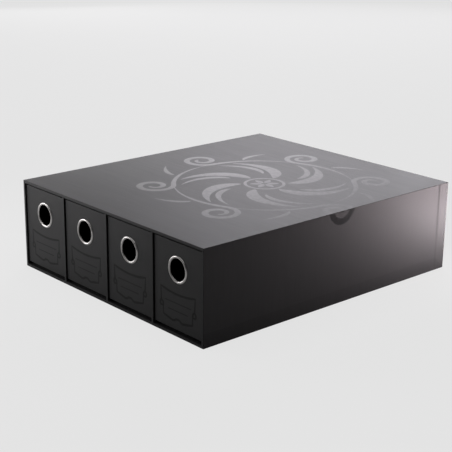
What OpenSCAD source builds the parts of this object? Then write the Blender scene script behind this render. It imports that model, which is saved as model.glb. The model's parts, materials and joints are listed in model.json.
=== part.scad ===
// Card drawer box: a rigid board case with a row of bays, and a tray-shaped drawer in each.
// Every board is wrapped in printed paper outside and lined with black paper inside.
// X runs across the front, Y from the front to the back, Z up from the resting surface.
// The origin is the centre of the footprint, so the front of the case faces -Y.

/* [Case] */
// Outside width of the case across the row of drawers
case_w = 335; // [300:1:420]
// Outside depth of the case from front to back
case_d = 391; // [200:1:450]
// Outside height of the case
case_h = 109.5; // [100:0.5:150]
// Number of bays, each with its drawer
bay_count = 4; // [3:1:5]
// Radius of the paper over the outer edges of the case
edge_r = 0.5; // [0.3:0.1:0.6]

/* [Board and paper] */
// Thickness of the grey board in the sides, the back and the dividers of the case
case_board = 2.6; // [2:0.1:3.5]
// Thickness of the stouter board in the top and the bottom of the case
deck_board = 3.1; // [2.5:0.1:4]
// Thickness of the grey board in the sides and the back of a drawer
tray_board = 2; // [1.5:0.1:3]
// Thickness of the stouter board in the front and the base of a drawer
stout_board = 3.5; // [3.2:0.1:4]
// Thickness of one layer of paper
paper = 0.2; // [0.2:0.05:0.3]
// Width of the strip of paper that is turned round an edge
turn_in = 16; // [10:1:20]

/* [Drawers] */
// Clear gap between a drawer and each side of its bay
side_gap = 1.3; // [0.8:0.1:2.5]
// Clear gap between the top of a drawer and the top of its bay
top_gap = 1.7; // [1:0.1:4]
// Clear gap behind a closed drawer
rear_gap = 2.5; // [1:0.1:5]
// Distance from the front edges of the case back to the drawer fronts
front_recess = 1.5; // [1:0.1:4]
// Distance that the drawer's base stands back under its front board
base_setback = 3; // [1:0.1:3.2]
// Radius of the paper over the edges of a drawer front
front_r = 0.4; // [0.2:0.1:0.5]

/* [Finger rings] */
// Clear diameter of the hole through a finger ring
hole_d = 25; // [18:1:28]
// Width of the ring's flange on the face of the drawer
flange_w = 2.8; // [2.5:0.1:4]
// Height that the flange's dome stands out from the face
dome_h = 0.9; // [0.7:0.1:1.2]
// Thickness of the ring's sheet metal
sheet = 0.4; // [0.3:0.1:0.5]
// Height of the ring's centre above the resting surface
ring_z = 74.7; // [60:0.1:78]

/* [Hidden] */
// Facets of a full circle where a round face is shown as a mesh
$fn = 96;
// Overshoot of a cut past the face it opens
cut = 1;
// Sliding clearance under a drawer
slide_gap = 0.05;
// Clearance between a finger ring's barrel and the hole in the board
barrel_gap = 0.1;
// Radius of the curl that clinches a finger ring behind the front board
clinch_r = 1;
// Height of a flange's upright edges, between which its dome rises
lip_h = 0.1;

// A wall of the case, or its top or bottom, is one board with a layer of paper on each face
wall = case_board + 2 * paper;
deck = deck_board + 2 * paper;
bay_w = (case_w - (bay_count + 1) * wall) / bay_count;
bay_pitch = bay_w + wall;
case_front = -case_d / 2;
case_back = case_d / 2;
bay_back = case_back - wall;

// The outline of a drawer, and the layers of its walls
tray_w = bay_w - 2 * side_gap;
tray_front = case_front + front_recess;
tray_back = bay_back - rear_gap;
tray_bottom = deck + slide_gap;
tray_top = case_h - deck - top_gap;
base_top = tray_bottom + paper + stout_board;
front_back = tray_front + paper + stout_board;
board_half = tray_w / 2 - paper;
inner_half = board_half - tray_board;
back_inner = tray_back - paper - tray_board;

// The finger ring, measured from its axis
hole_r = hole_d / 2;
barrel_r = hole_r + sheet;
face_depth = stout_board + 2 * paper;

bays = [1 : bay_count];
dividers = [1 : bay_count - 1];
drawer_pieces = ["front_board", "left_board", "right_board", "back_board", "base_board",
                 "wrap", "lining", "finger_ring"];

// Centre of bay i across the case, counted from the left seen from the front
function bay_x(i) = (i - (bay_count + 1) / 2) * bay_pitch;

// Centre of divider i, between bays i and i + 1
function divider_x(i) = bay_x(i) + bay_pitch / 2;

// A box given by its lowest and its highest corner
module block(low, high) {
    translate(low) cube(high - low);
}

// A rectangle centred on the origin with round corners
module rounded_rectangle(w, h, r) {
    square([w - 2 * r, h], center = true);
    square([w, h - 2 * r], center = true);
    for (x = [-1, 1], y = [-1, 1])
        translate([x * (w / 2 - r), y * (h / 2 - r)]) circle(r);
}

// A box whose twelve edges are round, given by its lowest and its highest corner
module rounded_block(low, high, r) {
    size = high - low;
    translate((low + high) / 2)
        intersection() {
            linear_extrude(size.z, center = true) rounded_rectangle(size.x, size.y, r);
            rotate([90, 0, 0])
                linear_extrude(size.y, center = true) rounded_rectangle(size.x, size.z, r);
            rotate([90, 0, 90])
                linear_extrude(size.x, center = true) rounded_rectangle(size.y, size.z, r);
        }
}

// ---- Case boards ----

// A wide board that closes the case from above or below, with its underside at z
module wide_board(z) {
    block([-case_w / 2 + paper, case_front + paper, z],
          [case_w / 2 - paper, case_back - paper, z + deck_board]);
}

// An upright board between the wide boards, from x to one board thickness further
module upright_board(x) {
    block([x, case_front + paper, paper + deck_board],
          [x + case_board, case_back - paper, case_h - paper - deck_board]);
}

module top_board() {
    color("#8d877c") wide_board(case_h - paper - deck_board);
}

module bottom_board() {
    color("#8d877c") wide_board(paper);
}

module left_board() {
    color("#948e83") upright_board(-case_w / 2 + paper);
}

module right_board() {
    color("#948e83") upright_board(case_w / 2 - paper - case_board);
}

module back_board() {
    color("#9b958a")
        block([-case_w / 2 + paper + case_board, bay_back + paper, paper + deck_board],
              [case_w / 2 - paper - case_board, case_back - paper, case_h - paper - deck_board]);
}

module divider(i) {
    color("#948e83")
        block([divider_x(i) - case_board / 2, case_front + paper, deck],
              [divider_x(i) + case_board / 2, bay_back, case_h - deck]);
}

// The paper over both faces and the front edge of a divider
module divider_wrap(i) {
    color("#1b1b1c")
        difference() {
            block([divider_x(i) - wall / 2, case_front, deck],
                  [divider_x(i) + wall / 2, bay_back, case_h - deck]);
            block([divider_x(i) - case_board / 2, case_front + paper, deck - cut],
                  [divider_x(i) + case_board / 2, bay_back + cut, case_h - deck + cut]);
        }
}

// ---- Case papers ----

// Every layer of paper on the case: outside, round the front edges and inside the bays
module case_papers() {
    difference() {
        rounded_block([-case_w / 2, case_front, 0], [case_w / 2, case_back, case_h], edge_r);
        difference() {
            block([-case_w / 2 + paper, case_front + paper, paper],
                  [case_w / 2 - paper, case_back - paper, case_h - paper]);
            lined_space(case_front);
        }
        block([-case_w / 2 + wall, case_front - cut, deck],
              [case_w / 2 - wall, bay_back, case_h - deck]);
    }
}

// The space inside the boards of the case, lining included, from y to the back board
module lined_space(y) {
    block([-case_w / 2 + wall - paper, y, deck - paper],
          [case_w / 2 - wall + paper, bay_back + paper, case_h - deck + paper]);
}

// The bottom of the case and the paper turned in over its front edge
module bottom_area() {
    block([-case_w / 2, case_front, 0], [case_w / 2, case_back, edge_r]);
    block([-case_w / 2 + paper, case_front, 0], [case_w / 2 - paper, case_front + turn_in, deck]);
}

// An outline seen from the right, as [y, z] points, over the outer paper of one side
module side_area(side, outline) {
    x = side > 0 ? case_w / 2 - paper : -case_w / 2;
    translate([x, 0, 0]) rotate([90, 0, 90]) linear_extrude(paper) polygon(outline);
}

// The strip along the bottom of a side, mitred at the rear corner
module bottom_flap_area(side) {
    side_area(side, [[case_front, edge_r], [case_back - edge_r, edge_r],
                     [case_back - turn_in, turn_in], [case_front, turn_in]]);
}

// The strip up the rear of a side, mitred at the bottom corner
module back_flap_area(side) {
    side_area(side, [[case_back - edge_r, edge_r], [case_back, edge_r],
                     [case_back, case_h - edge_r], [case_back - turn_in, case_h - edge_r],
                     [case_back - turn_in, turn_in]]);
}

// The back of the case below the cover sheet, and its strips round onto both sides
module back_area() {
    block([-case_w / 2, case_back - paper, edge_r], [case_w / 2, case_back, case_h - turn_in]);
    for (side = [-1, 1]) back_flap_area(side);
}

// The printed sheet over the top and the sides, turned in round the front and down the back
module cover_sheet() {
    color("#29292b")
        difference() {
            case_papers();
            lined_space(case_front + turn_in);
            bottom_area();
            for (side = [-1, 1]) bottom_flap_area(side);
            back_area();
        }
}

module bottom_sheet() {
    color("#1b1b1c")
        intersection() {
            case_papers();
            bottom_area();
        }
}

module bottom_flap(side) {
    color("#232325")
        intersection() {
            case_papers();
            bottom_flap_area(side);
        }
}

module back_sheet() {
    color("#1f1f21")
        intersection() {
            case_papers();
            back_area();
        }
}

module case_lining() {
    color("#101011")
        intersection() {
            case_papers();
            lined_space(case_front + turn_in);
        }
}

// ---- Drawers, modelled about the centre of their bay ----

module finger_hole() {
    translate([0, tray_front - cut, ring_z])
        rotate([-90, 0, 0]) cylinder(r = barrel_r + barrel_gap, h = face_depth + 2 * cut);
}

module drawer_front_board() {
    color("#8d877c")
        difference() {
            block([-board_half, tray_front + paper, base_top],
                  [board_half, front_back, tray_top - paper]);
            finger_hole();
        }
}

// A side board of the drawer, on the left for -1 and on the right for 1
module drawer_side_board(side) {
    x = side > 0 ? inner_half : -board_half;
    color("#948e83")
        block([x, front_back, base_top], [x + tray_board, tray_back - paper, tray_top - paper]);
}

module drawer_back_board() {
    color("#9b958a")
        block([-inner_half, back_inner, base_top],
              [inner_half, tray_back - paper, tray_top - paper]);
}

module drawer_base_board() {
    color("#8d877c")
        block([-board_half, tray_front + base_setback + paper, tray_bottom + paper],
              [board_half, tray_back - paper, base_top]);
}

// The whole drawer as a filled block: its front board overhangs the set-back base
module drawer_outline() {
    rounded_block([-tray_w / 2, tray_front, base_top - paper],
                  [tray_w / 2, front_back + paper, tray_top], front_r);
    block([-tray_w / 2, tray_front + base_setback, tray_bottom],
          [tray_w / 2, tray_back, tray_top]);
}

// The space that holds the cards, open above
module card_space() {
    block([-inner_half + paper, front_back + paper, base_top + paper],
          [inner_half - paper, back_inner - paper, tray_top + cut]);
}

// The space inside the drawer's boards that the black lining covers
module drawer_lined_space() {
    block([-inner_half, front_back, base_top], [inner_half, back_inner, tray_top - turn_in]);
}

// Every layer of paper on a drawer
module drawer_papers() {
    difference() {
        drawer_outline();
        drawer_front_board();
        for (side = [-1, 1]) drawer_side_board(side);
        drawer_back_board();
        drawer_base_board();
        card_space();
        finger_hole();
    }
}

// The printed sheet round the drawer, turned in over the rim of the tray
module drawer_wrap() {
    color("#39393b")
        difference() {
            drawer_papers();
            drawer_lined_space();
        }
}

module drawer_lining() {
    color("#101011")
        intersection() {
            drawer_papers();
            drawer_lined_space();
        }
}

// The flange of the finger ring in section: a shallow dome of sheet metal between two upright edges.
// x is the distance from the ring's axis and y the height above the drawer's face.
module dome_section() {
    rise = dome_h - lip_h;
    dome_r = (pow(flange_w / 2, 2) + pow(rise, 2)) / (2 * rise);
    intersection() {
        translate([hole_r + flange_w / 2, dome_h - dome_r])
            difference() {
                circle(dome_r);
                circle(dome_r - sheet);
            }
        translate([hole_r, 0]) square([flange_w, 2 * dome_h]);
    }
}

// The curled edge that grips the lining behind the front board, in the same section
module clinch_section() {
    translate([hole_r + clinch_r, -face_depth])
        difference() {
            circle(clinch_r);
            circle(clinch_r - sheet);
            translate([-2 * clinch_r, 0]) square([4 * clinch_r, 2 * clinch_r]);
        }
}

// One metal ring: the domed flange, the barrel through the board and the clinched edge
module drawer_finger_ring() {
    color("#d4d6d8")
        translate([0, tray_front, ring_z])
            rotate([90, 0, 0])
                rotate_extrude() {
                    dome_section();
                    translate([hole_r, -face_depth]) square([sheet, face_depth]);
                    clinch_section();
                }
}

module drawer_piece(piece) {
    if (piece == "front_board") drawer_front_board();
    if (piece == "left_board") drawer_side_board(-1);
    if (piece == "right_board") drawer_side_board(1);
    if (piece == "back_board") drawer_back_board();
    if (piece == "base_board") drawer_base_board();
    if (piece == "wrap") drawer_wrap();
    if (piece == "lining") drawer_lining();
    if (piece == "finger_ring") drawer_finger_ring();
}

top_board();
bottom_board();
left_board();
right_board();
back_board();
for (i = dividers) {
    divider(i);
    divider_wrap(i);
}
cover_sheet();
bottom_sheet();
bottom_flap(-1);  // left_bottom_flap
bottom_flap(1);  // right_bottom_flap
back_sheet();
case_lining();
for (i = bays, piece = drawer_pieces)
    translate([bay_x(i), 0, 0]) drawer_piece(piece);
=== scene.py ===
"""Looks of a card drawer box: a rigid board case wrapped in matt black paper, with tray drawers in it.

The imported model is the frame: its boards and papers stay where they are and get their finishes here. The
outer papers of the case are copied and lowered a little, so that the print on them stays within the frame.
The finger rings are turned again with smooth flanges. The print and the label frames are added.
"""

import json
import math

import bmesh
import bpy
from mathutils import Matrix, Vector

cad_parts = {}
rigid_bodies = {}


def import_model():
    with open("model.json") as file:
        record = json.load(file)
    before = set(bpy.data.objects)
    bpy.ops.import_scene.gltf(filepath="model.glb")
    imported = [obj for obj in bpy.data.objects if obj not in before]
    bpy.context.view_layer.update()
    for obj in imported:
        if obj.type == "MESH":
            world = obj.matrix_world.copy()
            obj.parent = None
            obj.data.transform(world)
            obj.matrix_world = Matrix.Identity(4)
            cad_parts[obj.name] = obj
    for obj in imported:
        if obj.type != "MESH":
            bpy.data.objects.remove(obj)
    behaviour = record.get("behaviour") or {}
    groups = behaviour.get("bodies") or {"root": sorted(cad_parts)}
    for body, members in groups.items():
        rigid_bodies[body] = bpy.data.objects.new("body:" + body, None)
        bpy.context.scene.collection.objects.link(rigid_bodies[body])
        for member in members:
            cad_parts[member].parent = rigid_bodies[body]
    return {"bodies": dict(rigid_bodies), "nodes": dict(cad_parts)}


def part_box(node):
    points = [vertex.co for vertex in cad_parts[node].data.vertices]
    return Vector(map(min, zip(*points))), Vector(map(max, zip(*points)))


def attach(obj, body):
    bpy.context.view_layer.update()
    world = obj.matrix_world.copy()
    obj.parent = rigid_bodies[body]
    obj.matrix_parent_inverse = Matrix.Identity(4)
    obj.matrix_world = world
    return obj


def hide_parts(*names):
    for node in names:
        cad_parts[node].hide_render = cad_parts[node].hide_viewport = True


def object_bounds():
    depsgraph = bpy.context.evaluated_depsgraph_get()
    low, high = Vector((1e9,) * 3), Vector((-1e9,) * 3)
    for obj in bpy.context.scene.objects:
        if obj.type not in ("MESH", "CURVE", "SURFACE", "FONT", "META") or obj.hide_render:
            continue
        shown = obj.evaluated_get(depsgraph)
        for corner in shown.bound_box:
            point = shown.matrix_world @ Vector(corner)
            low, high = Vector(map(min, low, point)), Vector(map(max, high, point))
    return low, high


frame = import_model()
CAD_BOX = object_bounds()

bl_info = {
    "name": "Card Drawer Box",
    "version": (1, 0, 0),
    "blender": (4, 5, 0),
    "location": "View3D > Sidebar > Card Box",
    "description": "Finishes a paper-wrapped box with tray drawers for trading cards",
    "category": "Add Mesh",
}

MM = 0.001

# Places that the frame gives
LOW, HIGH = CAD_BOX
CASE = "case"
DRAWERS = sorted(name for name in frame["bodies"] if name.startswith("drawer_"))
STRIP_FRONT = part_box("back_sheet")[0].y
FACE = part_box("drawer_1_wrap")[0].y
BASE_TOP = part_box("drawer_1_base_board")[1].z
BAY_LOW, BAY_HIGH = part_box("case_lining")

# Radius of the paper over the case's outer edges
FOLD_RADIUS = 0.5 * MM
# How far behind an edge the painted shade of a gap starts, and how softly it starts
BEHIND_EDGE = 0.5 * MM
SOFT = 0.4 * MM
# Upright edge of a ring's flange, and radius of the curl behind the front board
RING_LIP = 0.1 * MM
RING_CURL = 1 * MM
# Depth behind the face from which a ring's barrel is painted nearly black, as painted shade in the hole
BARREL_SHADE = 0.4 * MM
# Where the varnish on the top starts to fade to the right
FADE_START = -60 * MM
# Places that count as the same
CLOSE = 0.01 * MM

# From the middle of the floor to its edge, in metres
FLOOR_REACH = 12
# Strength of the world's light on the box, which only lifts its darkest sides
WORLD_LIGHT = 0.015
# The point that the camera looks at, found with the camera from the case's edges in the photo
CAMERA_TARGET = Vector((-2.65 * MM, -14.07 * MM, 54.54 * MM))

# Each lamp's name, place, aim, size, watts, colour and spread in degrees. The watts were fitted in trial
# renders to the tones of the photo and then tuned.
LAMPS = (
    ("overhead_softbox", (0, -0.5, 2.6), (0, -0.1, 0), (2.8, 2.8), 50, "#FFFFFF", 180),
    ("high_rear_softbox", (-1.61, 1.92, 1.4), (0, 0, 0.1), (1.2, 1.0), 23, "#FCF9FF", 180),
    ("rear_softbox", (-1.6, 2.05, 0.78), (0, 0, 0.1), (1.4, 1.2), 10, "#FCF9FF", 180),
    ("rear_left_softbox", (-2.3, 1.22, 0.45), (0, 0, 0.1), (0.8, 0.7), 6.4, "#FFFDFF", 180),
    ("front_left_strip", (-0.51, -0.48, 0.17), (-0.1, -0.19, 0.05), (0.25, 0.15), 0.86, "#FFFDFE", 120),
    ("left_strip", (-0.65, -0.24, 0.08), (-0.1, -0.19, 0.05), (0.3, 0.15), 0.15, "#FFFDFE", 80),
    ("rear_right_strip", (0.278, 0.384, 0.06), (0.168, 0.15, 0.06), (0.12, 0.11), 0.268, "#FFF0F5", 60),
    ("low_right_strip", (0.25, 0.32, 0.022), (0.168, 0.17, 0.02), (0.12, 0.03), 0.056, "#FFF6FA", 60),
    ("rear_corner_strip", (-0.04, 0.46, 0.2), (0.14, 0.15, 0.11), (0.12, 0.08), 0.007, "#FCF9FF", 50),
)


# ---- Colours and shader nodes ----


def linear(hex_colour):
    """The linear colour of an sRGB hex value such as #1C1C1E."""
    channels = [int(hex_colour[i : i + 2], 16) / 255 for i in (1, 3, 5)]
    return tuple(c / 12.92 if c <= 0.04045 else ((c + 0.055) / 1.055) ** 2.4 for c in channels)


def add_node(tree, kind, inputs=None, **settings):
    """Adds a node with its settings. An input is a value, or another node's socket to link."""
    node = tree.nodes.new(kind)
    for name, value in settings.items():
        setattr(node, name, value)
    for name, value in (inputs or {}).items():
        if isinstance(value, bpy.types.NodeSocket):
            tree.links.new(value, node.inputs[name])
        else:
            node.inputs[name].default_value = value
    return node


def new_material(name):
    """A material with an empty node tree and its output node."""
    material = bpy.data.materials.new(name)
    material.use_nodes = True
    material.node_tree.nodes.clear()
    return material, material.node_tree, add_node(material.node_tree, "ShaderNodeOutputMaterial")


def object_noise(tree, size, detail=2.0, roughness=0.5):
    """Noise on Object coordinates whose features are size metres long along X, Y and Z."""
    coordinates = add_node(tree, "ShaderNodeTexCoord")
    mapping = add_node(
        tree,
        "ShaderNodeMapping",
        {"Vector": coordinates.outputs["Object"], "Scale": tuple(1 / s for s in size)},
    )
    return add_node(
        tree,
        "ShaderNodeTexNoise",
        {"Vector": mapping.outputs["Vector"], "Scale": 1.0, "Detail": detail, "Roughness": roughness},
    )


def ranged(tree, value, low, high):
    """A noise value stretched from its usual middle range to low and high."""
    return add_node(
        tree,
        "ShaderNodeMapRange",
        {"Value": value, "From Min": 0.3, "From Max": 0.7, "To Min": low, "To Max": high},
    ).outputs["Result"]


def tinted(tree, amount, dark, light):
    """A colour between two, by a socket from 0 to 1. Each is three channels, or a socket."""
    dark, light = (c if isinstance(c, bpy.types.NodeSocket) else (*c, 1) for c in (dark, light))
    return add_node(tree, "ShaderNodeMix", {0: amount, 6: dark, 7: light}, data_type="RGBA").outputs[2]


def depth_inside(tree, low, high, most):
    """How deep a point lies in a box: 0 outside it, and most from SOFT behind its faces on."""
    point = add_node(tree, "ShaderNodeTexCoord").outputs["Object"]
    from_low = add_node(tree, "ShaderNodeVectorMath", {0: point, 1: low}, operation="SUBTRACT")
    to_high = add_node(tree, "ShaderNodeVectorMath", {0: high, 1: point}, operation="SUBTRACT")
    nearest = add_node(
        tree, "ShaderNodeVectorMath", {0: from_low.outputs[0], 1: to_high.outputs[0]}, operation="MINIMUM"
    )
    axes = add_node(tree, "ShaderNodeSeparateXYZ", {0: nearest.outputs[0]})
    across = add_node(tree, "ShaderNodeMath", {0: axes.outputs[0], 1: axes.outputs[1]}, operation="MINIMUM")
    least = add_node(
        tree, "ShaderNodeMath", {0: across.outputs[0], 1: axes.outputs[2]}, operation="MINIMUM"
    )
    inputs = {"Value": least.outputs[0], "From Max": SOFT, "To Max": most}
    return add_node(tree, "ShaderNodeMapRange", inputs).outputs["Result"]


def bumps(tree, *layers):
    """Bump nodes in a chain. A layer is a height socket and its depth in metres."""
    normal = None
    for height, depth in layers:
        inputs = {"Height": height, "Distance": depth, "Strength": 1.0}
        if normal is not None:
            inputs["Normal"] = normal
        normal = add_node(tree, "ShaderNodeBump", inputs).outputs["Normal"]
    return normal


# ---- Materials ----


def matt_laminated_paper(name, colour, shade_boxes, ior=1.27):
    """Black printed art paper under matt film: nearly black face on, pale with a wide sheen at a low angle.

    The film keeps a faint trace of the paper's fibres, drawn 2.5 mm apart so that it shows, and the board
    under it is not quite flat. A shade box is two corners of a box and how much painted shade lies in it,
    from
    0 to 1: there the colour is painted towards black and the film made fully rough. At 1 it is painted dead
    black, as shade for a narrow gap.
    """
    material, tree, output = new_material(name)
    fibres = object_noise(tree, (60 * MM, 2.5 * MM, 45 * MM), detail=3.0)
    grain = object_noise(tree, (0.5 * MM, 0.5 * MM, 0.5 * MM))
    board = object_noise(tree, (70 * MM, 70 * MM, 70 * MM), detail=1.0)
    worn = tuple(min(1.0, 1.35 * c + 0.001) for c in colour)
    printed = tinted(tree, ranged(tree, fibres.outputs["Fac"], 0, 1), colour, worn)
    film = ranged(tree, fibres.outputs["Fac"], 0.475, 0.505)
    # Painted shade: in each shade box the colour goes towards black and the film towards fully rough,
    # standing in for the shade of a narrow gap or of a seam's crease.
    painted_shade = 0.0
    for gap in shade_boxes:
        painted_shade = add_node(
            tree, "ShaderNodeMath", {0: painted_shade, 1: depth_inside(tree, *gap)}, operation="MAXIMUM"
        ).outputs[0]
    shader = add_node(
        tree,
        "ShaderNodeBsdfPrincipled",
        {
            "Base Color": tinted(tree, painted_shade, printed, (0, 0, 0)),
            "Roughness": add_node(tree, "ShaderNodeMix", {0: painted_shade, 2: film, 3: 1.0}).outputs[0],
            "IOR": ior,
            "Normal": bumps(
                tree,
                (board.outputs["Fac"], 0.16 * MM),
                (fibres.outputs["Fac"], 0.006 * MM),
                (grain.outputs["Fac"], 0.004 * MM),
            ),
        },
    )
    tree.links.new(shader.outputs["BSDF"], output.inputs["Surface"])
    return material


def black_lining_paper(colour):
    """Uncoated black paper: rough, no sheen, with short fibres."""
    material, tree, output = new_material("black_lining_paper")
    fibres = object_noise(tree, (1.5 * MM, 4 * MM, 1.5 * MM), detail=4.0, roughness=0.6)
    worn = tuple(1.6 * c for c in colour)
    shader = add_node(
        tree,
        "ShaderNodeBsdfPrincipled",
        {
            "Base Color": tinted(tree, ranged(tree, fibres.outputs["Fac"], 0, 1), colour, worn),
            "Roughness": 0.85,
            "IOR": 1.4,
            "Normal": bumps(tree, (fibres.outputs["Fac"], 0.03 * MM)),
        },
    )
    tree.links.new(shader.outputs["BSDF"], output.inputs["Surface"])
    return material


def grey_board(colour):
    """Solid board of recycled pulp: dull warm grey with darker flecks."""
    material, tree, output = new_material("grey_board")
    pulp = object_noise(tree, (3 * MM, 3 * MM, 1 * MM), detail=6.0, roughness=0.7)
    dark = tuple(0.55 * c for c in colour)
    shader = add_node(
        tree,
        "ShaderNodeBsdfPrincipled",
        {
            "Base Color": tinted(tree, ranged(tree, pulp.outputs["Fac"], 0, 1), dark, colour),
            "Roughness": 0.92,
            "IOR": 1.45,
            "Normal": bumps(tree, (pulp.outputs["Fac"], 0.05 * MM)),
        },
    )
    tree.links.new(shader.outputs["BSDF"], output.inputs["Surface"])
    return material


def nickel_plated_steel(colour, face, depth):
    """Pressed steel with nickel plate: bright, with the faint haze of handling.

    The barrel is painted nearly black from depth metres behind the face on: painted shade for a deep hole.
    """
    material, tree, output = new_material("nickel_plated_steel")
    haze = object_noise(tree, (2 * MM, 2 * MM, 2 * MM))
    point = add_node(tree, "ShaderNodeTexCoord").outputs["Object"]
    place = add_node(tree, "ShaderNodeSeparateXYZ", {0: point})
    inside = add_node(
        tree,
        "ShaderNodeMapRange",
        {"Value": place.outputs["Y"], "From Min": face, "From Max": face + depth},
    )
    # Painted shade: the barrel's colour, dimmed to 5%.
    shaded = tuple(0.05 * c for c in colour)
    shader = add_node(
        tree,
        "ShaderNodeBsdfPrincipled",
        {
            "Base Color": tinted(tree, inside.outputs["Result"], colour, shaded),
            "Metallic": 1.0,
            "Roughness": ranged(tree, haze.outputs["Fac"], 0.3, 0.36),
        },
    )
    tree.links.new(shader.outputs["BSDF"], output.inputs["Surface"])
    return material


def spot_gloss_varnish(name, colour, left, right):
    """Clear gloss varnish printed over the matt film: it mirrors what the film scatters.

    Its roughness goes from left to right across the box, so that the print can fade into the film.
    """
    material, tree, output = new_material(name)
    orange_peel = object_noise(tree, (4 * MM, 4 * MM, 4 * MM))
    point = add_node(tree, "ShaderNodeTexCoord").outputs["Object"]
    place = add_node(tree, "ShaderNodeSeparateXYZ", {0: point})
    coat = add_node(
        tree,
        "ShaderNodeMapRange",
        {
            "Value": place.outputs["X"],
            "From Min": FADE_START,
            "From Max": HIGH.x,
            "To Min": left,
            "To Max": right,
        },
    )
    peel = ranged(tree, orange_peel.outputs["Fac"], -0.02, 0.02)
    shader = add_node(
        tree,
        "ShaderNodeBsdfPrincipled",
        {
            "Base Color": (*colour, 1),
            "Roughness": add_node(tree, "ShaderNodeMath", {0: coat.outputs["Result"], 1: peel}).outputs[0],
            "IOR": 1.23,
            "Normal": bumps(tree, (orange_peel.outputs["Fac"], 0.01 * MM)),
        },
    )
    tree.links.new(shader.outputs["BSDF"], output.inputs["Surface"])
    return material


def label_ink(colour):
    """Black ink on the matt film: it takes some of the film's sheen away along its lines."""
    material, tree, output = new_material("label_ink")
    cover = object_noise(tree, (0.8 * MM, 0.8 * MM, 0.8 * MM))
    shader = add_node(
        tree,
        "ShaderNodeBsdfPrincipled",
        {
            "Base Color": (*colour, 1),
            "Roughness": ranged(tree, cover.outputs["Fac"], 0.48, 0.53),
            "IOR": 1.2,
            "Normal": bumps(tree, (cover.outputs["Fac"], 0.004 * MM)),
        },
    )
    tree.links.new(shader.outputs["BSDF"], output.inputs["Surface"])
    return material


def pale_studio_floor(colour, glow):
    """Matt pale paper with a faint mottle. For the camera, the share glow of its colour needs no light."""
    material, tree, output = new_material("pale_studio_floor")
    mottle = object_noise(tree, (0.4, 0.4, 0.4))
    darker = tuple(0.99 * c for c in colour)
    shader = add_node(
        tree,
        "ShaderNodeBsdfPrincipled",
        {
            "Base Color": tinted(tree, mottle.outputs["Fac"], darker, colour),
            "Roughness": 1.0,
            "Specular IOR Level": 0.0,
        },
    )
    light = add_node(tree, "ShaderNodeEmission", {"Color": (*colour, 1), "Strength": 1.0})
    path = add_node(tree, "ShaderNodeLightPath")
    share = add_node(
        tree, "ShaderNodeMath", {0: path.outputs["Is Camera Ray"], 1: glow}, operation="MULTIPLY"
    )
    mix = add_node(
        tree, "ShaderNodeMixShader", {0: share.outputs[0], 1: shader.outputs["BSDF"], 2: light.outputs[0]}
    )
    tree.links.new(mix.outputs[0], output.inputs["Surface"])
    return material


# ---- Building and placing pieces ----


def finish(node, material):
    """Gives a CAD node its material."""
    frame["nodes"][node].data.materials.clear()
    frame["nodes"][node].data.materials.append(material)


def put(piece, body, material):
    """Gives a piece its material and lets it ride on its body."""
    piece.data.materials.clear()
    piece.data.materials.append(material)
    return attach(piece, body)


def piece_from_bmesh(bm, name, sharp_degrees=5):
    """A mesh object, smooth apart from its corners, at the origin with its place in its mesh."""
    mesh = bpy.data.meshes.new(name)
    bm.to_mesh(mesh)
    bm.free()
    mesh.shade_smooth()
    mesh.set_sharp_from_angle(angle=math.radians(sharp_degrees))
    piece = bpy.data.objects.new(name, mesh)
    bpy.context.scene.collection.objects.link(piece)
    return piece


def merged_copy(node):
    """A bmesh of a CAD node with its loose triangles joined."""
    bm = bmesh.new()
    bm.from_mesh(frame["nodes"][node].data)
    bmesh.ops.remove_doubles(bm, verts=bm.verts, dist=0.001 * MM)
    return bm


def sink_under_print(bm, depth):
    """Lowers the top and the sides of a paper, so that the print on them ends where the frame does."""
    for vert in bm.verts:
        if HIGH.z - vert.co.z < CLOSE:
            vert.co.z -= depth
        if HIGH.x - abs(vert.co.x) < CLOSE:
            vert.co.x -= math.copysign(depth, vert.co.x)


def stroke_mesh(strokes, relief):
    """Printed strokes in the XY plane as one low relief. A stroke is points with a width at each.

    They are drawn as round tubes that swell and taper, and flattened to relief metres.
    """
    curve = bpy.data.curves.new("strokes", "CURVE")
    curve.dimensions = "3D"
    curve.bevel_depth = 0.5
    curve.bevel_resolution = 1
    curve.use_fill_caps = True
    for points, widths in strokes:
        spline = curve.splines.new("POLY")
        closed = (Vector(points[0]) - Vector(points[-1])).length < CLOSE
        spline.points.add(len(points) - (2 if closed else 1))
        spline.use_cyclic_u = closed
        for spot, (x, y), width in zip(spline.points, points, widths):
            spot.co = (x, y, 0, 1)
            spot.radius = width
    drawn = bpy.data.objects.new("strokes", curve)
    mesh = bpy.data.meshes.new_from_object(drawn)
    bpy.data.objects.remove(drawn)
    bpy.data.curves.remove(curve)
    widest = max(max(widths) for _, widths in strokes)
    mesh.transform(Matrix.Diagonal((1, 1, relief / widest, 1)))
    return mesh


def stroke_piece(name, mesh, place, cut=None):
    """A piece from strokes, moved to where they are printed. cut is a point and the way to what stays."""
    bm = bmesh.new()
    bm.from_mesh(mesh)
    if cut:
        everything = list(bm.verts) + list(bm.edges) + list(bm.faces)
        made = bmesh.ops.bisect_plane(
            bm, geom=everything, plane_co=cut[0], plane_no=cut[1], clear_inner=True, dist=0
        )
        rim = [item for item in made["geom_cut"] if isinstance(item, bmesh.types.BMEdge)]
        bmesh.ops.holes_fill(bm, edges=rim)
    bmesh.ops.transform(bm, matrix=place, verts=bm.verts)
    bmesh.ops.recalc_face_normals(bm, faces=bm.faces)
    return piece_from_bmesh(bm, name, sharp_degrees=60)


def steps(count):
    """Even steps from 0 to 1."""
    return [i / (count - 1) for i in range(count)]


def polar(centre, radius, angle):
    return centre[0] + radius * math.cos(angle), centre[1] + radius * math.sin(angle)


def arc(centre, radius, start, end, count):
    """Points of an arc from one angle to another."""
    return [polar(centre, radius, start + (end - start) * t) for t in steps(count)]


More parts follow.
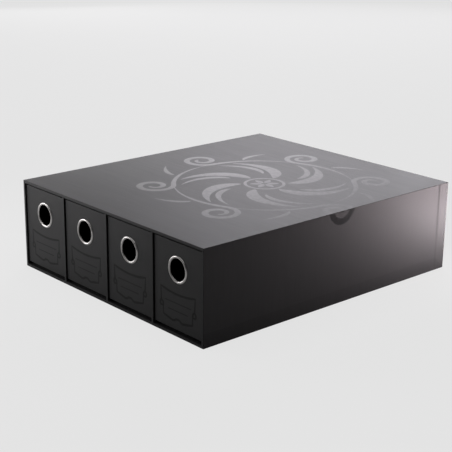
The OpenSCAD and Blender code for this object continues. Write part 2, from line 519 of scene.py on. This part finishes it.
def ring_section(outer, flange, dome, depth, sheet):
    """A pressed ring in section, as points of (distance from the axis, height over the face).

    Its flange is a dome of sheet metal. The barrel goes down to depth, where its edge curls outwards.
    """
    hole, half, rise, curl = outer - flange, flange / 2, dome - RING_LIP, RING_CURL
    bend = (half**2 + rise**2) / (2 * rise)
    top = (hole + half, dome - bend)
    edge = math.acos(half / bend)
    left = math.pi - math.acos((half - sheet) / (bend - sheet))
    right = math.asin((bend - dome) / (bend - sheet))
    behind = (hole + curl, curl - depth)
    return (
        arc(top, bend, edge, math.pi - edge, 17)
        + [(hole, -RING_LIP)]
        + arc(behind, curl, math.pi, math.tau, 9)
        + arc(behind, curl - sheet, math.tau, math.pi, 9)
        + arc(top, bend - sheet, left, right, 9)
        + [(outer, 0)]
    )


def turned_piece(name, section, centre, count=96):
    """A section turned round the Y axis through centre. Its heights point to the front."""
    bm = bmesh.new()
    verts = [bm.verts.new(centre + Vector((x, -height, 0))) for x, height in section]
    edges = [bm.edges.new((verts[i - 1], verts[i])) for i in range(len(verts))]
    bmesh.ops.spin(
        bm, geom=verts + edges, cent=centre, axis=(0, 1, 0), angle=math.tau, steps=count, use_merge=True
    )
    bmesh.ops.recalc_face_normals(bm, faces=bm.faces)
    return piece_from_bmesh(bm, name, sharp_degrees=60)


# ---- Strokes of the print, as (points, widths) in the plane of the unfolded paper ----


def ring_stroke(centre, radius, width):
    points = [polar(centre, radius, math.tau * t) for t in steps(73)]
    return points, [width] * 73


def leaf_stroke(centre, inner, outer, angle, sweep, width):
    """A leaf that starts at radius inner and swings by sweep on its way out to a point at radius outer."""
    points = [polar(centre, inner + (outer - inner) * t, angle + sweep * t**1.6) for t in steps(24)]
    widths = [width * (0.06 + math.sin(math.pi * t**0.8) ** 0.9) for t in steps(24)]
    return points, widths


def scroll_stroke(centre, radius, angle, sweep, curl, width):
    """An arc on the circle of this radius that leaves it outwards and winds into a scroll.

    The arc ends at angle after sweep. The scroll starts with radius curl.
    """
    points = [polar(centre, radius, angle - sweep * (1 - t)) for t in steps(24)]
    widths = [width * (0.15 + 0.75 * t) for t in steps(24)]
    eye = polar(centre, radius + curl, angle)
    for t in steps(48)[1:]:
        points.append(polar(eye, curl * (1 - 0.76 * t), angle + math.pi - 1.45 * math.tau * t))
        widths.append(width * (0.9 + 0.4 * math.sin(math.pi * t) - 0.45 * t))
    return points, widths


def wheel_print(centre, size):
    """A wheel of swirling leaves round a rosette. Its rim breaks up into scrolls that reach out to size."""
    spokes = 6
    rim = 0.7 * size
    strokes = [ring_stroke(centre, 0.15 * size, 0.024 * size)]
    for i in range(spokes):
        angle = math.tau * (i / spokes) - 0.1
        turn = math.tau / spokes
        strokes += [
            scroll_stroke(centre, rim, angle, 0.92 * turn, 0.15 * size, 0.045 * size),
            leaf_stroke(centre, 0.18 * size, 0.655 * size, angle - 1.05, 0.8, 0.095 * size),
            leaf_stroke(centre, 0.3 * size, 0.64 * size, angle - 0.62, 0.6, 0.045 * size),
            leaf_stroke(centre, 0.74 * size, 0.93 * size, angle - 0.42, -0.25, 0.035 * size),
            leaf_stroke(centre, 0.02 * size, 0.115 * size, angle, 0, 0.045 * size),
        ]
    return strokes


def level_line(half, height, sag, width):
    """A line across a label that hangs by sag in its middle."""
    points = [(half * x, height - sag * (1 - x * x)) for x in (2 * t - 1 for t in steps(13))]
    return points, [width] * 13


def label_frame(bottom, top, half, width):
    """A label frame with a hanging top edge, an ear on each side, a waved foot and two writing lines."""
    tall = top - bottom

    def spots(way, shares):
        return [(way * half * x, bottom + tall * z) for x, z in shares]

    side = ((0.97, 0.55), (1.03, 0.48), (1.045, 0.41), (1.0, 0.36), (0.86, 0.365), (0.845, 0.1))
    foot = ((0.56, 0.045), (0.3, 0), (0.2, 0.015), (0.09, 0.075))
    ear = ((0.97, 0.55), (0.87, 0.47), (0.86, 0.365))
    outline, _ = level_line(half, top, 0.1 * tall, width)
    outline += spots(1, side + foot) + spots(-1, reversed(side + foot)) + outline[:1]
    strokes = [(outline, [width] * len(outline))]
    strokes += [(spots(way, ear), [width] * len(ear)) for way in (-1, 1)]
    for reach, height in ((0.76, 0.605), (0.58, 0.345)):
        strokes.append(level_line(reach * half, bottom + height * tall, 0, 0.4 * width))
    return strokes


# ---- Settings ----


class CardBoxPaper(bpy.types.PropertyGroup):
    """Papers and board of the box."""

    case_colour: bpy.props.FloatVectorProperty(
        name="Case paper",
        description="Ink on the case's paper",
        subtype="COLOR",
        default=linear("#0C0C0D"),
    )
    drawer_colour: bpy.props.FloatVectorProperty(
        name="Drawer paper",
        description="Ink on the drawers' paper",
        subtype="COLOR",
        default=linear("#0D0D0E"),
    )
    lining_colour: bpy.props.FloatVectorProperty(
        name="Lining", description="Uncoated paper inside", subtype="COLOR", default=linear("#101011")
    )
    board_colour: bpy.props.FloatVectorProperty(
        name="Board",
        description="Grey board under the papers",
        subtype="COLOR",
        default=linear("#8F897E"),
    )
    # The seam band is painted shade along each edge of the back strip on the sides, where the paper creases
    # over the strip; here are its width and how dark it is painted, from 0 to 1.
    seam_width: bpy.props.FloatProperty(
        name="Seam width",
        description="Dull band along the back strip's edge",
        unit="LENGTH",
        default=3.6 * MM,
    )
    seam_painted_shade: bpy.props.FloatProperty(
        name="Seam dullness", description="How dull the finish is there, from 0 to 1", default=0.2
    )


class CardBoxPrint(bpy.types.PropertyGroup):
    """The varnish print on the top and the label frames on the drawers."""

    varnish_colour: bpy.props.FloatVectorProperty(
        name="Varnish",
        description="Black under the gloss varnish",
        subtype="COLOR",
        default=linear("#0C0C0D"),
    )
    label_colour: bpy.props.FloatVectorProperty(
        name="Label ink",
        description="Ink of the label frames",
        subtype="COLOR",
        default=linear("#060606"),
    )
    wheel_size: bpy.props.FloatProperty(
        name="Wheel size", description="Reach of the wheel's scrolls", unit="LENGTH", default=156 * MM
    )
    wheel_right: bpy.props.FloatProperty(
        name="Wheel to the right",
        description="Its centre from the middle",
        unit="LENGTH",
        default=30 * MM,
    )
    wheel_back: bpy.props.FloatProperty(
        name="Wheel to the back", description="Its centre from the middle", unit="LENGTH", default=18 * MM
    )
    relief: bpy.props.FloatProperty(
        name="Relief", description="Thickness of the varnish", unit="LENGTH", default=0.06 * MM
    )
    label_bottom: bpy.props.FloatProperty(
        name="Label bottom", description="Height of the label's foot", unit="LENGTH", default=16.3 * MM
    )
    label_top: bpy.props.FloatProperty(
        name="Label top", description="Height of its upper corners", unit="LENGTH", default=50.4 * MM
    )
    label_half_width: bpy.props.FloatProperty(
        name="Half label width", description="At its upper corners", unit="LENGTH", default=28.2 * MM
    )
    label_line: bpy.props.FloatProperty(
        name="Label line", description="Width of the frame's line", unit="LENGTH", default=2.6 * MM
    )


class CardBoxRings(bpy.types.PropertyGroup):
    """The finger rings of the drawers."""

    colour: bpy.props.FloatVectorProperty(
        name="Ring colour", description="Nickel plate", subtype="COLOR", default=linear("#9A9896")
    )
    flange: bpy.props.FloatProperty(
        name="Flange width", description="From the hole to the rim", unit="LENGTH", default=2.8 * MM
    )
    sheet: bpy.props.FloatProperty(
        name="Sheet", description="Thickness of the sheet metal", unit="LENGTH", default=0.4 * MM
    )


class CardBoxStudio(bpy.types.PropertyGroup):
    """The floor and the camera."""

    floor_colour: bpy.props.FloatVectorProperty(
        name="Floor", description="Colour of the floor", subtype="COLOR", default=linear("#E6E6E6")
    )
    floor_glow: bpy.props.FloatProperty(
        name="Floor glow", description="Share of the floor's colour that needs no light", default=0.92
    )
    azimuth: bpy.props.FloatProperty(
        name="Azimuth",
        description="Camera's turn round the box from the front",
        subtype="ANGLE",
        default=math.radians(48.246),
    )
    elevation: bpy.props.FloatProperty(
        name="Elevation",
        description="Camera's angle above the floor",
        subtype="ANGLE",
        default=math.radians(17.710),
    )
    roll: bpy.props.FloatProperty(
        name="Roll",
        description="Camera's turn about its own axis",
        subtype="ANGLE",
        default=math.radians(0.627),
    )
    distance: bpy.props.FloatProperty(
        name="Distance", description="From the camera to its target", unit="LENGTH", default=1.400
    )
    lens: bpy.props.FloatProperty(
        name="Lens", description="Focal length on a 36 mm sensor", default=91.491
    )


# ---- Operators ----


class CARDBOX_OT_case_papers(bpy.types.Operator):
    """Wraps the case again in papers whose seams show on the sides, partly by the papers' own sheen and
    partly by painted shade along them, and paints the bays dead black as shade
    """

    bl_idname = "cardbox.case_papers"
    bl_label = "Case Papers"

    def execute(self, context):
        paper = context.scene.card_box_paper
        relief = context.scene.card_box_print.relief
        # Painted shade: dead black inside the bays and along the rim's lower edge over the drawers,
        # standing in for the shade of the gaps.
        behind = Vector((LOW.x, LOW.y + BEHIND_EDGE, LOW.z))
        shade_boxes = [
            (Vector((BAY_LOW.x, behind.y, BAY_LOW.z)), BAY_HIGH, 1.0),
            (
                Vector((LOW.x, LOW.y - SOFT, BAY_HIGH.z - SOFT)),
                Vector((HIGH.x, behind.y, BAY_HIGH.z + SOFT)),
                1.0,
            ),
        ]
        # Painted shade along the back strip's edges on both sides, for the crease there.
        half = Vector((BEHIND_EDGE, paper.seam_width / 2, HIGH.z))
        for x in (LOW.x, HIGH.x):
            seam = Vector((x, STRIP_FRONT - BEHIND_EDGE, LOW.z))
            shade_boxes.append((seam - half, seam + half, paper.seam_painted_shade))
        cover = matt_laminated_paper("matt_laminated_case_paper", paper.case_colour, shade_boxes)
        flap = matt_laminated_paper("matt_laminated_flap_paper", paper.case_colour, shade_boxes, ior=1.25)
        strip = matt_laminated_paper("matt_laminated_strip_paper", paper.case_colour, shade_boxes, ior=1.28)
        for node, material, slot in (
            ("cover_sheet", cover, "printed_case_paper"),
            ("left_bottom_flap", flap, "plain_case_paper"),
            ("right_bottom_flap", flap, "plain_case_paper"),
            ("back_sheet", strip, "plain_case_paper"),
        ):
            bm = merged_copy(node)
            sink_under_print(bm, relief / 2)
            piece = piece_from_bmesh(bm, node + "_wrapped")
            put(piece, CASE, material)
            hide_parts(node)
        for name in frame["nodes"]:
            if name == "bottom_sheet" or (name.startswith("divider") and name.endswith("wrap")):
                finish(name, cover)
        return {"FINISHED"}


class CARDBOX_OT_top_print(bpy.types.Operator):
    """Prints the varnish wheel on the top, with the scroll that laps over onto the right side"""

    bl_idname = "cardbox.top_print"
    bl_label = "Top Print"

    def execute(self, context):
        settings = context.scene.card_box_print
        sunk = settings.relief / 2
        centre = (settings.wheel_right, settings.wheel_back)
        mesh = stroke_mesh(wheel_print(centre, settings.wheel_size), settings.relief)
        colour = settings.varnish_colour
        on_film = spot_gloss_varnish("spot_gloss_varnish", colour, left=0.32, right=0.46)
        round_edge = spot_gloss_varnish("spot_gloss_varnish_on_side", colour, left=0.3, right=0.3)
        fold = Vector((HIGH.x, 0, 0))
        rounding = Vector((FOLD_RADIUS, 0, 0))
        on_top = Matrix.Translation((0, 0, HIGH.z - sunk))
        over_edge = Matrix.Translation((HIGH.x - sunk, 0, HIGH.z))
        on_side = over_edge @ Matrix.Rotation(math.pi / 2, 4, "Y") @ Matrix.Translation(-fold)
        top = stroke_piece("top_print", mesh, on_top, (fold - rounding, (-1, 0, 0)))
        side = stroke_piece("side_print", mesh, on_side, (fold + rounding, (1, 0, 0)))
        bpy.data.meshes.remove(mesh)
        put(top, CASE, on_film)
        put(side, CASE, round_edge)
        return {"FINISHED"}


class CARDBOX_OT_drawer_papers(bpy.types.Operator):
    """Finishes the drawers' printed papers with painted shade in the gaps round the fronts, and draws a
    label frame on each front
    """

    bl_idname = "cardbox.drawer_papers"
    bl_label = "Drawer Papers"

    def execute(self, context):
        settings = context.scene.card_box_print
        # Painted shade: dead black on the drawers' papers behind the face below the base's top, and on the
        # top edge of each front, for the shade in the gaps under and over the drawers.
        behind = Vector((LOW.x, FACE + BEHIND_EDGE, 0))
        brim = Vector((0, -SOFT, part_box("drawer_1_wrap")[1].z - BEHIND_EDGE))
        shade_boxes = [(behind, Vector((HIGH.x, HIGH.y, BASE_TOP)), 1.0), (behind + brim, HIGH, 1.0)]
        colour = context.scene.card_box_paper.drawer_colour
        paper = matt_laminated_paper("matt_laminated_drawer_paper", colour, shade_boxes)
        ink = label_ink(settings.label_colour)
        strokes = label_frame(
            settings.label_bottom, settings.label_top, settings.label_half_width, settings.label_line
        )
        mesh = stroke_mesh(strokes, settings.relief)
        for drawer in DRAWERS:
            finish(drawer + "_wrap", paper)
            low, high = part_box(drawer + "_wrap")
            front = Matrix.Translation(((low.x + high.x) / 2, low.y, 0))
            place = front @ Matrix.Rotation(math.pi / 2, 4, "X")
            label = stroke_piece(drawer + "_label_frame", mesh, place)
            put(label, drawer, ink)
        bpy.data.meshes.remove(mesh)
        return {"FINISHED"}


class CARDBOX_OT_linings(bpy.types.Operator):
    """Lines the bays and the drawers with black paper"""

    bl_idname = "cardbox.linings"
    bl_label = "Linings"

    def execute(self, context):
        material = black_lining_paper(context.scene.card_box_paper.lining_colour)
        for name in frame["nodes"]:
            if name.endswith("lining"):
                finish(name, material)
        return {"FINISHED"}


class CARDBOX_OT_boards(bpy.types.Operator):
    """Gives the boards under the papers their pulp"""

    bl_idname = "cardbox.boards"
    bl_label = "Boards"

    def execute(self, context):
        material = grey_board(context.scene.card_box_paper.board_colour)
        for name in frame["nodes"]:
            if name.endswith("board") or name in ("divider_1", "divider_2", "divider_3"):
                finish(name, material)
        return {"FINISHED"}


class CARDBOX_OT_finger_rings(bpy.types.Operator):
    """Presses the finger rings from nickel-plated sheet"""

    bl_idname = "cardbox.finger_rings"
    bl_label = "Finger Rings"

    def execute(self, context):
        rings = context.scene.card_box_rings
        material = nickel_plated_steel(rings.colour, FACE, BARREL_SHADE)
        for drawer in DRAWERS:
            low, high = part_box(drawer + "_finger_ring")
            middle = (low + high) / 2
            outer = (high.x - low.x) / 2
            section = ring_section(outer, rings.flange, FACE - low.y, high.y - FACE, rings.sheet)
            piece = turned_piece(drawer + "_pressed_ring", section, Vector((middle.x, FACE, middle.z)))
            put(piece, drawer, material)
            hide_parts(drawer + "_finger_ring")
        return {"FINISHED"}


class CARDBOX_OT_stage(bpy.types.Operator):
    """Sets the floor, the soft lights and the camera"""

    bl_idname = "cardbox.stage"
    bl_label = "Stage"

    def execute(self, context):
        studio = context.scene.card_box_studio
        self.add_floor(studio)
        self.add_world(studio)
        self.add_lights()
        self.add_camera(context.scene, studio)
        context.scene.view_settings.view_transform = "Standard"
        return {"FINISHED"}

    def add_floor(self, studio):
        bm = bmesh.new()
        bmesh.ops.create_grid(bm, x_segments=2, y_segments=2, size=FLOOR_REACH)
        floor = piece_from_bmesh(bm, "studio_floor")
        floor.data.materials.append(pale_studio_floor(studio.floor_colour, studio.floor_glow))

    def add_world(self, studio):
        # Only the camera sees the pale background. Reflections see the dim light instead.
        world = bpy.data.worlds.new("soft_studio")
        world.use_nodes = True
        tree = world.node_tree
        tree.nodes.clear()
        seen = add_node(tree, "ShaderNodeBackground", {"Color": (*studio.floor_colour, 1), "Strength": 1.0})
        light = add_node(tree, "ShaderNodeBackground", {"Color": (1, 1, 1, 1), "Strength": WORLD_LIGHT})
        path = add_node(tree, "ShaderNodeLightPath")
        mix = add_node(
            tree,
            "ShaderNodeMixShader",
            {0: path.outputs["Is Camera Ray"], 1: light.outputs[0], 2: seen.outputs[0]},
        )
        output = add_node(tree, "ShaderNodeOutputWorld")
        tree.links.new(mix.outputs[0], output.inputs["Surface"])
        bpy.context.scene.world = world

    def add_lights(self):
        for name, spot, aim, size, watts, colour, spread in LAMPS:
            light = bpy.data.lights.new(name, "AREA")
            light.shape = "RECTANGLE"
            light.size, light.size_y = size
            light.energy = watts
            light.color = linear(colour)
            light.spread = math.radians(spread)
            lamp = bpy.data.objects.new(name, light)
            lamp.location = spot
            way = Vector(aim) - Vector(spot)
            lamp.rotation_euler = way.to_track_quat("-Z", "Y").to_euler()
            lamp.visible_camera = False
            bpy.context.scene.collection.objects.link(lamp)

    def add_camera(self, scene, studio):
        camera = bpy.data.objects.new("photo_camera", bpy.data.cameras.new("photo_camera"))
        scene.collection.objects.link(camera)
        back = Vector(
            (
                math.sin(studio.azimuth) * math.cos(studio.elevation),
                -math.cos(studio.azimuth) * math.cos(studio.elevation),
                math.sin(studio.elevation),
            )
        )
        camera.location = CAMERA_TARGET + back * studio.distance
        turn = Matrix.Rotation(studio.roll, 3, "Z")
        camera.rotation_euler = ((-back).to_track_quat("-Z", "Y").to_matrix() @ turn).to_euler()
        camera.data.lens = studio.lens
        scene.camera = camera


class CARDBOX_PT_panel(bpy.types.Panel):
    """Shows the settings of the card drawer box and the buttons of its steps"""

    bl_idname = "CARDBOX_PT_panel"
    bl_label = "Card Drawer Box"
    bl_space_type = "VIEW_3D"
    bl_region_type = "UI"
    bl_category = "Card Box"

    def draw(self, context):
        for group in (getattr(context.scene, name) for name in GROUPS):
            box = self.layout.box()
            for name in group.bl_rna.properties.keys():
                if name not in ("rna_type", "name"):
                    box.prop(group, name)
        for operator in OPERATORS:
            self.layout.operator(operator.bl_idname)


GROUPS = {
    "card_box_paper": CardBoxPaper,
    "card_box_print": CardBoxPrint,
    "card_box_rings": CardBoxRings,
    "card_box_studio": CardBoxStudio,
}
OPERATORS = (
    CARDBOX_OT_case_papers,
    CARDBOX_OT_top_print,
    CARDBOX_OT_drawer_papers,
    CARDBOX_OT_linings,
    CARDBOX_OT_boards,
    CARDBOX_OT_finger_rings,
    CARDBOX_OT_stage,
)


def register():
    for group in GROUPS.values():
        bpy.utils.register_class(group)
    for name, group in GROUPS.items():
        setattr(bpy.types.Scene, name, bpy.props.PointerProperty(type=group))
    for cls in (*OPERATORS, CARDBOX_PT_panel):
        bpy.utils.register_class(cls)


def unregister():
    for cls in (CARDBOX_PT_panel, *reversed(OPERATORS)):
        bpy.utils.unregister_class(cls)
    for name in GROUPS:
        delattr(bpy.types.Scene, name)
    for group in GROUPS.values():
        bpy.utils.unregister_class(group)


def main():
    register()
    bpy.ops.cardbox.case_papers()
    bpy.ops.cardbox.top_print()
    bpy.ops.cardbox.drawer_papers()
    bpy.ops.cardbox.linings()
    bpy.ops.cardbox.boards()
    bpy.ops.cardbox.finger_rings()
    bpy.ops.cardbox.stage()


if __name__ == "__main__":
    main()
